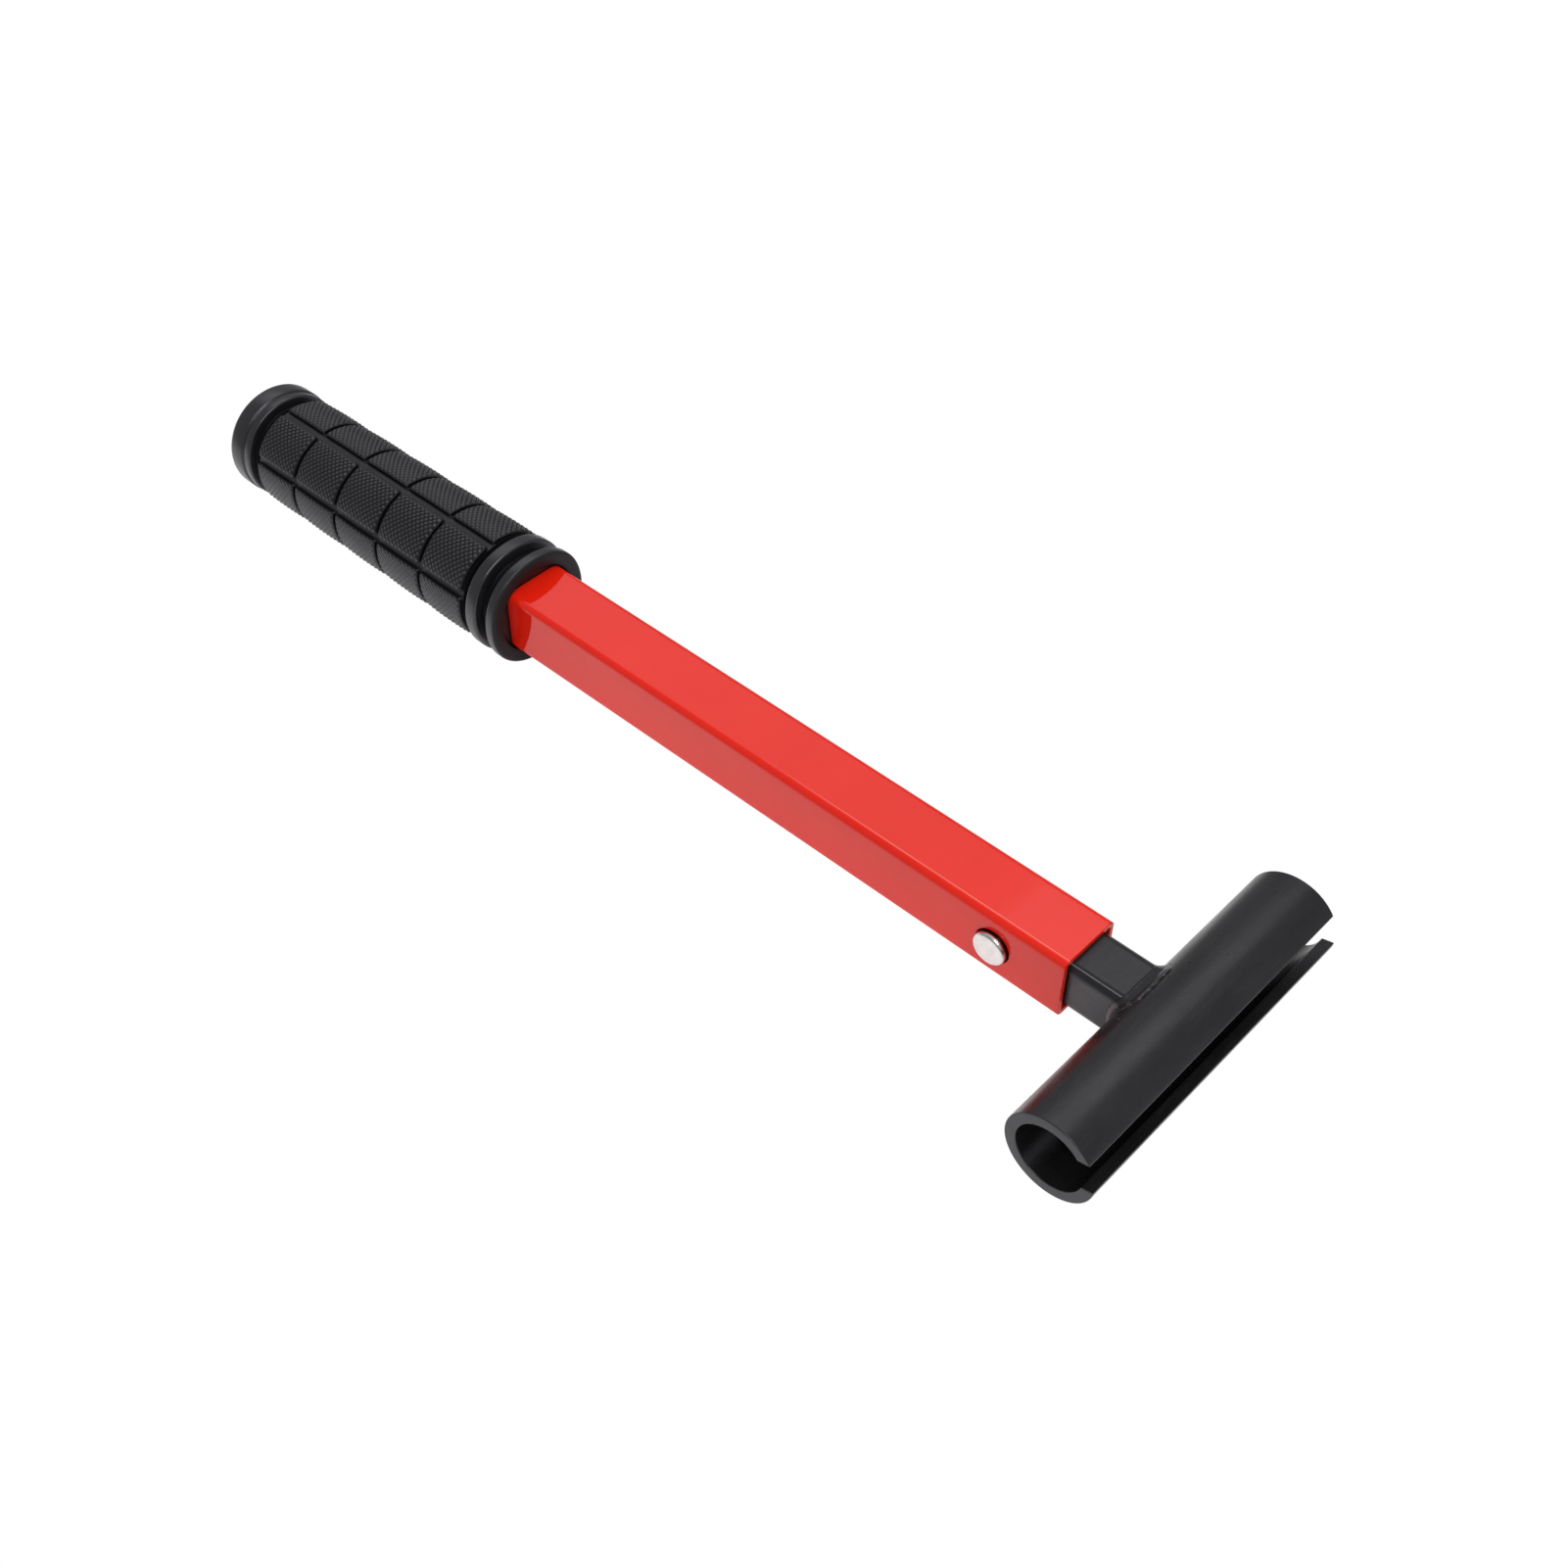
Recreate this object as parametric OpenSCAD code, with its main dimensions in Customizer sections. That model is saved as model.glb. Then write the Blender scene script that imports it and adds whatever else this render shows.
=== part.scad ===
// Fire hydrant wrench: a square handle tube with a rubber grip, and a take-apart head that
// carries a slotted cross tube. The head's square stem plugs into the handle and is held
// there by a spring snap button.
//
// Millimetres. The origin is the centre of the cross tube's bore, +Y runs along that bore,
// the handle runs towards -X, and +Z is up.

/* [Handle tube] */
// Outside width of the square handle tube
handle_w = 20; // [19.6:0.1:22]
// Wall of the handle tube
handle_wall = 1.5; // [1:0.1:1.7]
// Outside corner radius of the handle tube
handle_corner_r = 2.0; // [1:0.1:2.4]
// Length of the handle tube
handle_len = 320; // [270:5:420]
// Distance from the cross tube's axis to the handle tube's open mouth
mouth_gap = 27; // [22:0.5:40]

/* [Head stem] */
// Outside width of the square stem
stem_w = 16; // [15.6:0.1:16.4]
// Wall of the stem
stem_wall = 1.5; // [1.2:0.1:1.8]
// Outside corner radius of the stem
stem_corner_r = 2.9; // [1.6:0.1:3.2]
// Length of stem that sits inside the handle
stem_engaged_len = 190; // [80:5:220]

/* [Cross tube] */
// Outside radius of the cross tube
cross_r = 12.7; // [12:0.1:15]
// Radius of the cross tube's bore
bore_r = 9.5; // [8:0.1:10.5]
// Length of the cross tube
cross_len = 100; // [60:1:160]
// Width of the slot along the cross tube
slot_w = 8.5; // [5:0.1:11]
// Angle of the slot's centre above the +X direction
slot_angle = 14.5; // [-30:0.5:40]
// Radius of the weld bead round the stem
weld_r = 2.2; // [1.5:0.1:3]

/* [Snap button] */
// Distance from the handle's mouth to the button's centre
button_inset = 21.3; // [16:0.1:40]
// Radius of the button
button_r = 4.9; // [4:0.1:5.4]
// How far the button stands out of the handle
button_proud = 2; // [1:0.1:2.5]
// Width of the spring strip
spring_w = 9; // [7:0.5:11]
// Thickness of the spring strip
spring_t = 0.8; // [0.5:0.1:1]
// Distance from the button's centre to the centre of the spring's bend
spring_reach = 30; // [18:1:50]

/* [Grip] */
// Length of the grip
grip_len = 126.5; // [123:0.5:140]
// Thickness of the grip's closed end
grip_cap_t = 5; // [2:0.5:8]
// Outside radius of the grip's pads
pad_r = 17.3; // [16.5:0.1:18]
// Outside radius of the two rings at the grip's mouth
ring_r = 17.9; // [17.2:0.1:20]
// Depth of the grooves between the pads
groove_depth = 0.7; // [0.3:0.1:1.2]
// Width of the grooves between the pads
groove_w = 1.2; // [0.6:0.1:2]
// Spacing of the grooves that run round the grip
pad_pitch = 20; // [16:0.5:20]
// Number of pads round the grip
pads_round = 6; // [4:1:10]

/* [Hidden] */
$fn = 96;
handle_inner_w = handle_w - 2 * handle_wall;
handle_inner_corner_r = 0.5;
stem_inner_w = stem_w - 2 * stem_wall;
stem_inner_corner_r = 0.6;
mouth_x = -mouth_gap;
handle_end_x = mouth_x - handle_len;
stem_end_x = mouth_x - stem_engaged_len;

// Snap button levels, all measured along Y towards the button's face
button_x = mouth_x - button_inset;
button_face_y = -handle_w / 2 - button_proud;
button_hole_r = button_r + 0.3;
button_rim = 0.5;
shoulder_r = min(button_r + 0.6, stem_inner_w / 2 - stem_inner_corner_r);
shoulder_t = 1;
shoulder_y = -stem_inner_w / 2;
arm_y = shoulder_y + shoulder_t;
tail_r = 2;
tail_clearance = 0.1;
tail_head_r = 3;
tail_head_t = 0.6;
arm_tip = 7.5;
bend_x = button_x - spring_reach;
bend_r = (stem_inner_w / 2 - arm_y) / 2;
bend_y = (stem_inner_w / 2 + arm_y) / 2;
back_arm_x = bend_x + 0.75 * spring_reach;

// Grip stations along X, measured back from the grip's mouth
grip_end_x = handle_end_x - grip_cap_t;
grip_mouth_x = grip_end_x + grip_len;
lip_x = grip_mouth_x - 1.5;
flange_back_x = grip_mouth_x - 4.6;
ring_front_x = grip_mouth_x - 8.2;
ring_back_x = grip_mouth_x - 12.4;
pads_front_x = grip_mouth_x - 15.2;
first_groove_x = grip_mouth_x - 33.5;
pads_back_x = first_groove_x - 4 * pad_pitch + 1;
neck_back_x = pads_back_x - 4;
collar_step_x = neck_back_x - 3;
tube_reach = (handle_w / 2 - handle_corner_r) * sqrt(2) + handle_corner_r;
channel_r = max(pad_r - 2.7, tube_reach + 0.8);
collar_small_r = pad_r - 0.2;
collar_r = pad_r + 0.15;
end_rim_r = collar_r - 1.4;
end_rim_x = grip_end_x + 2.2;
recess_r = 0.695 * handle_w;
recess_depth = 1.5;
pad_turn = 42;

// Rounded square outline centred on the origin
module rounded_square(w, r) {
    square([w - 2 * r, w], center = true);
    square([w, w - 2 * r], center = true);
    for (sx = [-1, 1], sy = [-1, 1])
        translate([sx * (w / 2 - r), sy * (w / 2 - r)])
            circle(r = r);
}

// Rounded square bar along X, from x0 up to x1
module square_bar(w, r, x0, x1) {
    translate([x0, 0, 0])
        rotate([90, 0, 90])
            linear_extrude(height = x1 - x0)
                rounded_square(w, r);
}

// Round bar along Y, centred on the origin
module cross_bar(r, len) {
    rotate([90, 0, 0])
        cylinder(r = r, h = len, center = true);
}

// Hole through the tube walls on the button's side only
module button_hole() {
    translate([button_x, -handle_w / 2 - 1, 0])
        rotate([-90, 0, 0])
            cylinder(r = button_hole_r, h = handle_w / 2);
}

// Square steel handle, open at the mouth, with one hole for the snap button
module handle_tube() {
    color([0.80, 0.10, 0.08])
        difference() {
            square_bar(handle_w, handle_corner_r, handle_end_x, mouth_x);
            square_bar(handle_inner_w, handle_inner_corner_r, handle_end_x - 1, mouth_x + 1);
            button_hole();
        }
}

// Outline of the grip: radius against distance along its axis
module grip_outline() {
    polygon([
        [0, grip_end_x],
        [end_rim_r, grip_end_x],
        [collar_r, end_rim_x],
        [collar_r, collar_step_x],
        [collar_small_r, collar_step_x + 0.4],
        [collar_small_r, neck_back_x],
        [channel_r, neck_back_x + 0.3],
        [channel_r, pads_back_x - 0.5],
        [pad_r, pads_back_x],
        [pad_r, pads_front_x],
        [channel_r, pads_front_x + 0.3],
        [channel_r, ring_back_x - 0.4],
        [ring_r, ring_back_x],
        [ring_r, ring_front_x],
        [channel_r, ring_front_x + 0.3],
        [channel_r, flange_back_x - 0.3],
        [ring_r, flange_back_x],
        [ring_r, lip_x],
        [ring_r - 1, grip_mouth_x],
        [0, grip_mouth_x]
    ]);
}

// Grooves that divide the grip's surface into pads
module grip_grooves() {
    for (k = [0:3])
        translate([first_groove_x - k * pad_pitch, 0, 0])
            rotate([0, 90, 0])
                difference() {
                    cylinder(r = pad_r + 1, h = groove_w, center = true);
                    cylinder(r = pad_r - groove_depth, h = groove_w + 1, center = true);
                }
    for (k = [0:pads_round - 1])
        rotate([pad_turn + k * 360 / pads_round, 0, 0])
            translate([pads_back_x, pad_r - groove_depth, -groove_w / 2])
                cube([pads_front_x - pads_back_x, groove_depth + 1, groove_w]);
}

// Closed-end rubber grip, stretched over the handle tube
module grip() {
    color([0.10, 0.10, 0.11])
        difference() {
            rotate([0, 90, 0])
                rotate_extrude()
                    grip_outline();
            square_bar(handle_w, handle_corner_r, handle_end_x, grip_mouth_x + 1);
            translate([grip_mouth_x - recess_depth, 0, 0])
                rotate([0, 90, 0])
                    cylinder(r = recess_r, h = recess_depth + 1);
            grip_grooves();
        }
}

// Square stem that plugs into the handle, coped at its end to fit the cross tube
module head_stem() {
    color([0.16, 0.16, 0.17])
        difference() {
            square_bar(stem_w, stem_corner_r, stem_end_x, 0);
            square_bar(stem_inner_w, stem_inner_corner_r, stem_end_x - 1, 1);
            cross_bar(cross_r, cross_len);
            button_hole();
        }
}

// Cross tube with a slot along its whole length
module cross_tube() {
    color([0.16, 0.16, 0.17])
        difference() {
            cross_bar(cross_r, cross_len);
            cross_bar(bore_r, cross_len + 2);
            rotate([0, -slot_angle, 0])
                translate([0, -cross_len / 2 - 1, -slot_w / 2])
                    cube([cross_r + 1, cross_len + 2, slot_w]);
        }
}

// Rounded weld bead that runs all round the stem where it meets the cross tube
module weld_bead() {
    seam_half = stem_w / 2;
    seam_x = -sqrt(cross_r * cross_r - seam_half * seam_half);
    seam_turn = asin(seam_half / cross_r);
    color([0.14, 0.14, 0.15])
        difference() {
            union() {
                for (s = [-1, 1]) {
                    translate([seam_x, 0, s * seam_half])
                        cross_bar(weld_r, stem_w);
                    translate([0, s * seam_half, 0])
                        rotate([90, seam_turn - 180, 0])
                            rotate_extrude(angle = 2 * seam_turn)
                                translate([cross_r, 0])
                                    circle(r = weld_r, $fn = 48);
                    for (t = [-1, 1])
                        translate([seam_x, s * seam_half, t * seam_half])
                            sphere(r = weld_r, $fn = 48);
                }
            }
            square_bar(stem_w, stem_corner_r, -30, 0);
            cross_bar(cross_r, cross_len);
        }
}

// Steel stud with a shoulder inside the stem and a riveted tail through the spring
module snap_button() {
    stud_len = shoulder_y - button_face_y;
    color([0.80, 0.80, 0.82])
        translate([button_x, button_face_y, 0])
            rotate([-90, 0, 0]) {
                cylinder(r1 = button_r - button_rim, r2 = button_r, h = button_rim);
                translate([0, 0, button_rim])
                    cylinder(r = button_r, h = stud_len - button_rim);
                translate([0, 0, stud_len])
                    cylinder(r = shoulder_r, h = shoulder_t);
                translate([0, 0, stud_len + shoulder_t])
                    cylinder(r = tail_r, h = spring_t);
                translate([0, 0, stud_len + shoulder_t + spring_t])
                    cylinder(r = tail_head_r, h = tail_head_t);
            }
}

// Bent steel strip that pushes the button outwards
module button_spring() {
    tip_x = button_x + arm_tip;
    color([0.62, 0.63, 0.66])
        difference() {
            union() {
                translate([bend_x, arm_y, -spring_w / 2])
                    cube([tip_x - bend_x, spring_t, spring_w]);
                translate([bend_x, stem_inner_w / 2 - spring_t, -spring_w / 2])
                    cube([back_arm_x - bend_x, spring_t, spring_w]);
                translate([bend_x, bend_y, 0])
                    difference() {
                        cylinder(r = bend_r, h = spring_w, center = true);
                        cylinder(r = bend_r - spring_t, h = spring_w + 1, center = true);
                        translate([0, -bend_r - 1, -spring_w / 2 - 1])
                            cube([bend_r + 1, 2 * bend_r + 2, spring_w + 2]);
                    }
            }
            translate([button_x, arm_y - 1, 0])
                rotate([-90, 0, 0])
                    cylinder(r = tail_r + tail_clearance, h = spring_t + 2);
        }
}

handle_tube();
grip();
head_stem();
cross_tube();
weld_bead();
snap_button();
button_spring();
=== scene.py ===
"""Looks for the fire hydrant wrench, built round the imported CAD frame.

Sizes are in millimetres unless a comment says otherwise, and MM turns them into Blender's metres.
+Y runs along the cross tube, the handle runs towards -X and +Z is up.
"""

import math

import bpy
import numpy as np
from mathutils import Matrix, Vector


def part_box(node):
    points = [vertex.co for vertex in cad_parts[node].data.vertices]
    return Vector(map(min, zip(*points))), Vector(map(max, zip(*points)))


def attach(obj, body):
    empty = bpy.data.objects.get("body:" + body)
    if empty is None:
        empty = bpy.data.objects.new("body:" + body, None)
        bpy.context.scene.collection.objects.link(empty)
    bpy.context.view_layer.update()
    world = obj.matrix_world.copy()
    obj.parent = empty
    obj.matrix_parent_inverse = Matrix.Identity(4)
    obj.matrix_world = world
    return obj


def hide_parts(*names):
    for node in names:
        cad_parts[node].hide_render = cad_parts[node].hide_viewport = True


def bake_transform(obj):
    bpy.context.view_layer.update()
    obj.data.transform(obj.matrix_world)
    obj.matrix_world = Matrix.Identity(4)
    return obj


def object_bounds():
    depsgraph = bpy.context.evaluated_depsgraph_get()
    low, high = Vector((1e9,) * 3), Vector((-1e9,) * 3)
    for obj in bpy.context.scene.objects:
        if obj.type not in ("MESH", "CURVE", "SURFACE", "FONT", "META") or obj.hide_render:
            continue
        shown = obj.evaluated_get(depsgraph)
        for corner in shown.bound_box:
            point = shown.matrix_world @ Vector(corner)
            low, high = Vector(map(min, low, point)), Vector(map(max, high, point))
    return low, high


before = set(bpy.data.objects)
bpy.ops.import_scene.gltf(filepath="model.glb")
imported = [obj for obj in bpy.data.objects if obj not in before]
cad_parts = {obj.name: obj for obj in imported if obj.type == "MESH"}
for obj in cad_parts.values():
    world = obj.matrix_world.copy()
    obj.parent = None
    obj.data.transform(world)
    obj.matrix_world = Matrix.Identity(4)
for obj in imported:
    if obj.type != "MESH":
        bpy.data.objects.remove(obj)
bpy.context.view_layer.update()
MM = 0.001
TAU = 2 * math.pi
rng = np.random.default_rng(11)

# ---------------------------------------------------------------- sizes read from the frame

handle_low, handle_high = (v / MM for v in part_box("handle_tube"))
grip_low, grip_high = (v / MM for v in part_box("grip"))
button_low, button_high = (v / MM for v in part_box("snap_button"))
spring_low, spring_high = (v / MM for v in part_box("button_spring"))

HANDLE_HALF = handle_high.z
HANDLE_CORNER = 2.0
STEM_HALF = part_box("head_stem")[1].z / MM
STEM_CORNER = 2.9
CROSS_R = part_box("cross_tube")[1].z / MM

GRIP_MOUTH = grip_high.x
GRIP_LEN = grip_high.x - grip_low.x
GRIP_END_WALL = handle_low.x - grip_low.x
RING_R = grip_high.z


# ---------------------------------------------------------------- mesh helpers

def new_object(name, points, faces, body, material, smooth=True):
    """A mesh object from points in millimetres, riding on a CAD body if one is named."""
    mesh = bpy.data.meshes.new(name)
    mesh.from_pydata((np.asarray(points) * MM).tolist(), [], faces)
    mesh.validate()
    mesh.update()
    mesh.polygons.foreach_set("use_smooth", [smooth] * len(mesh.polygons))
    obj = bpy.data.objects.new(name, mesh)
    bpy.context.scene.collection.objects.link(obj)
    mesh.materials.append(material)
    if body:
        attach(obj, body)
    return obj


def lofted(rings, close_loop=False):
    """Points and faces of a closed skin over rings, an array of (ring, point, xyz).

    close_loop joins the last ring to the first; otherwise a fan closes each end."""
    count, around = rings.shape[:2]
    points = rings.reshape(-1, 3)
    ring_ids = np.arange(count if close_loop else count - 1)
    point_ids = np.arange(around)
    a = ring_ids[:, None] * around + point_ids
    b = ring_ids[:, None] * around + (point_ids + 1) % around
    after = (ring_ids[:, None] + 1) % count * around
    c = after + (point_ids + 1) % around
    d = after + point_ids
    faces = np.stack([a, b, c, d], axis=-1).reshape(-1, 4).tolist()
    if not close_loop:
        points = np.vstack([points, rings[0].mean(0), rings[-1].mean(0)])
        first, last = count * around, count * around + 1
        for i in range(around):
            j = (i + 1) % around
            faces.append([first, j, i])
            faces.append([last, (count - 1) * around + i, (count - 1) * around + j])
    return points, faces


def other_way_round(rows):
    """The rows with their points in the opposite order, which turns a skin's faces outward."""
    return np.array(rows)[:, ::-1]


def smoothstep(low, high, x):
    t = np.clip((x - low) / (high - low), 0, 1)
    return t * t * (3 - 2 * t)


def square_radius(theta, half, corner):
    """Distance from the axis to a rounded square's outline, at each angle."""
    folded = np.abs((theta + TAU / 8) % (TAU / 4) - TAU / 8)
    flat = half / np.cos(folded)
    centre = (half - corner) * math.sqrt(2)
    off = folded - TAU / 8
    inside = np.maximum(corner**2 - (centre * np.sin(off)) ** 2, 0)
    arc = centre * np.cos(off) + np.sqrt(inside)
    return np.where(half * np.tan(folded) <= half - corner, flat, arc)


# ---------------------------------------------------------------- node helpers

def material_tree(name):
    material = bpy.data.materials.new(name)
    material.use_nodes = True
    tree = material.node_tree
    tree.nodes.clear()
    return material, tree


def add(tree, kind, inputs=None, **settings):
    """Adds a shader node. An input takes a number, a colour or another node's output."""
    made = tree.nodes.new("ShaderNode" + kind)
    for key, value in settings.items():
        setattr(made, key, value)
    for key, value in (inputs or {}).items():
        if isinstance(value, bpy.types.NodeSocket):
            tree.links.new(value, made.inputs[key])
        else:
            made.inputs[key].default_value = value
    return made


def math_node(tree, operation, a, b=0.0):
    return add(tree, "Math", {0: a, 1: b}, operation=operation).outputs[0]


def times(tree, a, b):
    return math_node(tree, "MULTIPLY", a, b)


def noise_node(tree, place, scale, detail, roughness=0.5):
    """Smooth noise at a place, with about scale waves to each unit of it."""
    inputs = {"Vector": place, "Scale": scale, "Detail": detail, "Roughness": roughness}
    return add(tree, "TexNoise", inputs).outputs["Fac"]


def ramp(tree, factor, low, high, out_low=0.0, out_high=1.0):
    """Turns low to high into out_low to out_high, and stays level outside them."""
    inputs = {"Value": factor, "From Min": low, "From Max": high}
    inputs.update({"To Min": out_low, "To Max": out_high})
    return add(tree, "MapRange", inputs, clamp=True).outputs["Result"]


def mix_colour(tree, factor, a, b):
    made = add(tree, "Mix", data_type="RGBA")
    for socket, value in ((made.inputs[0], factor), (made.inputs[6], a), (made.inputs[7], b)):
        if isinstance(value, bpy.types.NodeSocket):
            tree.links.new(value, socket)
        else:
            socket.default_value = value
    return made.outputs[2]


def drifting(tree, noise, first, second):
    """A colour that drifts between two tones with the noise."""
    return mix_colour(tree, ramp(tree, noise, 0.3, 0.7), first, second)


def tinted(tree, colour, mask, share, tint):
    """The colour with a share of the tint laid over it where the mask is 1."""
    return mix_colour(tree, times(tree, mask, share), colour, tint)


def rest_coordinates(tree, scale=(1, 1, 1)):
    """The piece's own coordinates in millimetres, stretched by scale."""
    place = add(tree, "TexCoord").outputs["Object"]
    stretch = tuple(s / MM for s in scale)
    return add(tree, "Mapping", {"Vector": place, "Scale": stretch}).outputs["Vector"]


def coordinate(tree, place, axis):
    return add(tree, "SeparateXYZ", {0: place}).outputs[axis]


def specks(tree, place, scale, share, size):
    """A mask of scattered small dots: 1 on a dot, 0 elsewhere."""
    cells = add(tree, "TexVoronoi", {"Vector": place, "Scale": scale, "Randomness": 1.0})
    draw = add(tree, "SeparateColor", {0: cells.outputs["Color"]}).outputs[0]
    chosen = math_node(tree, "LESS_THAN", draw, share)
    near = ramp(tree, cells.outputs["Distance"], size, size * 0.6)
    return times(tree, chosen, near)


def edge_mask(tree, radius, low, high):
    """1 on the piece's outer edges, from how far a bevelled normal turns."""
    rounded = add(tree, "Bevel", {"Radius": radius * MM}, samples=4).outputs[0]
    plain = add(tree, "NewGeometry").outputs["Normal"]
    dot = add(tree, "VectorMath", {0: rounded, 1: plain}, operation="DOT_PRODUCT")
    return ramp(tree, dot.outputs["Value"], high, low)


def painted_highlight_line(tree, place, low, high, above):
    """A mask for a painted highlight: a thin line along a square tube's upper edge on the button's
    side.
    """
    parts = add(tree, "SeparateXYZ", {0: place}).outputs
    side = times(tree, parts["Y"], -1.0)
    inside = math_node(tree, "GREATER_THAN", side, low)
    outside = math_node(tree, "LESS_THAN", side, high)
    upper = math_node(tree, "GREATER_THAN", parts["Z"], above)
    return times(tree, times(tree, inside, outside), upper)


def crevices(tree, reach, low, high):
    """1 on open surfaces, falling to 0 deep in grooves and corners."""
    made = add(tree, "AmbientOcclusion", {"Distance": reach * MM}, samples=6)
    return ramp(tree, made.outputs["AO"], low, high)


def bump(tree, height, strength, depth, normal=None):
    inputs = {"Height": height, "Strength": strength, "Distance": depth * MM}
    if normal is not None:
        inputs["Normal"] = normal
    return add(tree, "Bump", inputs).outputs[0]


def finish_surface(tree, inputs):
    shader = add(tree, "BsdfPrincipled", inputs)
    add(tree, "OutputMaterial", {"Surface": shader.outputs[0]})


# ---------------------------------------------------------------- paint

# colours are linear red, green, blue and alpha
RED_BRIGHT = (0.90, 0.018, 0.006, 1)
RED_DULL = (0.84, 0.014, 0.004, 1)
RED_EDGE = (0.55, 0.006, 0.004, 1)
RED_HIGHLIGHT = (0.98, 0.17, 0.12, 1)  # painted highlight along the upper edge
RED_HIGHLIGHT_Y = (7.95, 8.30)  # where that line lies, out from the tube's middle
RED_HIGHLIGHT_X = (-130.0, -85.0)  # it fades out towards the grip between these
RED_DUST = (0.80, 0.36, 0.32, 1)
SCUFF_STRETCH = (0.10, 1.0, 1.0)  # scuffs run along the handle

BLACK_DARK = (0.0075, 0.0074, 0.0080)
BLACK_LIGHT = (0.0135, 0.0133, 0.0142)
BLACK_WORN = (0.11, 0.11, 0.115, 1)
# painted highlight for the stem's upper edge, and where it lies out from the stem's middle
BLACK_HIGHLIGHT = (0.15, 0.15, 0.155, 1)
BLACK_HIGHLIGHT_Y = (6.50, 6.78)
BLACK_STREAK = (0.026, 0.026, 0.028, 1)
BLACK_DUST = (0.13, 0.13, 0.13, 1)
STREAK_STRETCH = (1.0, 0.14, 1.0)  # streaks and smears run along Y, as the cross tube does
SMEAR_STRETCH = (1.0, 0.25, 1.0)
COOL_TINT = (0.985, 0.960, 1.060, 1)  # the faint violet cast of the black parts' sheen


def red_colour(tree, place, dots):
    """Red that drifts slightly, darker on the edges, with a painted highlight line along the upper
    edge and dust specks.
    """
    broad = noise_node(tree, place, scale=0.03, detail=3.0)
    colour = drifting(tree, broad, RED_BRIGHT, RED_DULL)
    edges = edge_mask(tree, radius=0.5, low=0.80, high=0.985)
    colour = tinted(tree, colour, edges, 0.35, RED_EDGE)
    # painted highlight: a pale line along the upper edge on the button's side, fading out towards
    # the grip
    line = painted_highlight_line(tree, place, *RED_HIGHLIGHT_Y, above=8.0)
    fade = ramp(tree, coordinate(tree, place, "X"), *RED_HIGHLIGHT_X)
    colour = tinted(tree, colour, times(tree, line, fade), 0.75, RED_HIGHLIGHT)
    return tinted(tree, colour, dots, 0.5, RED_DUST)


def red_paint():
    """Glossy red enamel: a clear mirror-like skin, slight orange peel, dust specks and scuffs."""
    material, tree = material_tree("red_paint")
    place = rest_coordinates(tree)
    dots = specks(tree, place, scale=0.09, share=0.22, size=0.03)
    drawn_out = rest_coordinates(tree, SCUFF_STRETCH)
    scuff_noise = noise_node(tree, drawn_out, scale=0.9, detail=8.0, roughness=0.75)
    scuffs = ramp(tree, scuff_noise, 0.62, 0.78)
    peel_noise = noise_node(tree, place, scale=0.8, detail=2.0)
    peel = bump(tree, peel_noise, strength=0.22, depth=0.03)
    normal = bump(tree, dots, strength=0.4, depth=0.05, normal=peel)
    inputs = {
        "Base Color": red_colour(tree, place, dots),
        "Roughness": 0.5,
        "Specular IOR Level": 0.0,
        "Coat Weight": 0.80,
        "Coat Roughness": ramp(tree, scuffs, 0.0, 1.0, 0.035, 0.16),
        "Coat Normal": normal,
        "Normal": normal,
    }
    finish_surface(tree, inputs)
    return material


def black_colour(tree, place, dots, lift, edge_highlight):
    """Near-black that drifts, with worn edges, long faint streaks, dust specks and, if asked for, a
    painted highlight line along the upper edge.
    """
    dark = tuple(value * lift for value in BLACK_DARK) + (1,)
    light = tuple(value * lift for value in BLACK_LIGHT) + (1,)
    broad = noise_node(tree, place, scale=0.05, detail=4.0, roughness=0.6)
    colour = drifting(tree, broad, dark, light)
    patch_noise = noise_node(tree, place, scale=0.6, detail=6.0, roughness=0.7)
    edges = edge_mask(tree, radius=0.5, low=0.75, high=0.98)
    worn = times(tree, edges, ramp(tree, patch_noise, 0.42, 0.66))
    colour = tinted(tree, colour, worn, 0.7, BLACK_WORN)
    if edge_highlight:
        # painted highlight: a pale line along the stem's upper edge on the button's side
        line = painted_highlight_line(tree, place, *BLACK_HIGHLIGHT_Y, above=6.5)
        colour = mix_colour(tree, line, colour, BLACK_HIGHLIGHT)
    drawn_out = rest_coordinates(tree, STREAK_STRETCH)
    streak_noise = noise_node(tree, drawn_out, scale=0.45, detail=7.0, roughness=0.72)
    colour = tinted(tree, colour, ramp(tree, streak_noise, 0.52, 0.70), 0.45, BLACK_STREAK)
    return tinted(tree, colour, dots, 0.6, BLACK_DUST)


def black_paint(name, lift=1.0, peel_depth=0.06, edge_highlight=False):
    """Satin black paint over steel: orange peel, drifting sheen, specks, rubbed edges and, if asked
    for, a painted highlight line along the upper edge.
    """
    material, tree = material_tree(name)
    place = rest_coordinates(tree)
    dots = specks(tree, place, scale=0.16, share=0.16, size=0.045)
    drawn_out = rest_coordinates(tree, SMEAR_STRETCH)
    smear_noise = noise_node(tree, drawn_out, scale=0.22, detail=6.0, roughness=0.65)
    smears = ramp(tree, smear_noise, 0.35, 0.75)
    peel_noise = noise_node(tree, place, scale=1.1, detail=3.0)
    peel = bump(tree, peel_noise, strength=0.35, depth=peel_depth)
    inputs = {
        "Base Color": black_colour(tree, place, dots, lift, edge_highlight),
        "Roughness": math_node(tree, "ADD", times(tree, smears, 0.16), 0.24),
        "Specular IOR Level": 0.5,
        "Specular Tint": COOL_TINT,
        "Normal": bump(tree, dots, strength=0.5, depth=0.12, normal=peel),
    }
    finish_surface(tree, inputs)
    return material


# ---------------------------------------------------------------- rubber

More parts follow.
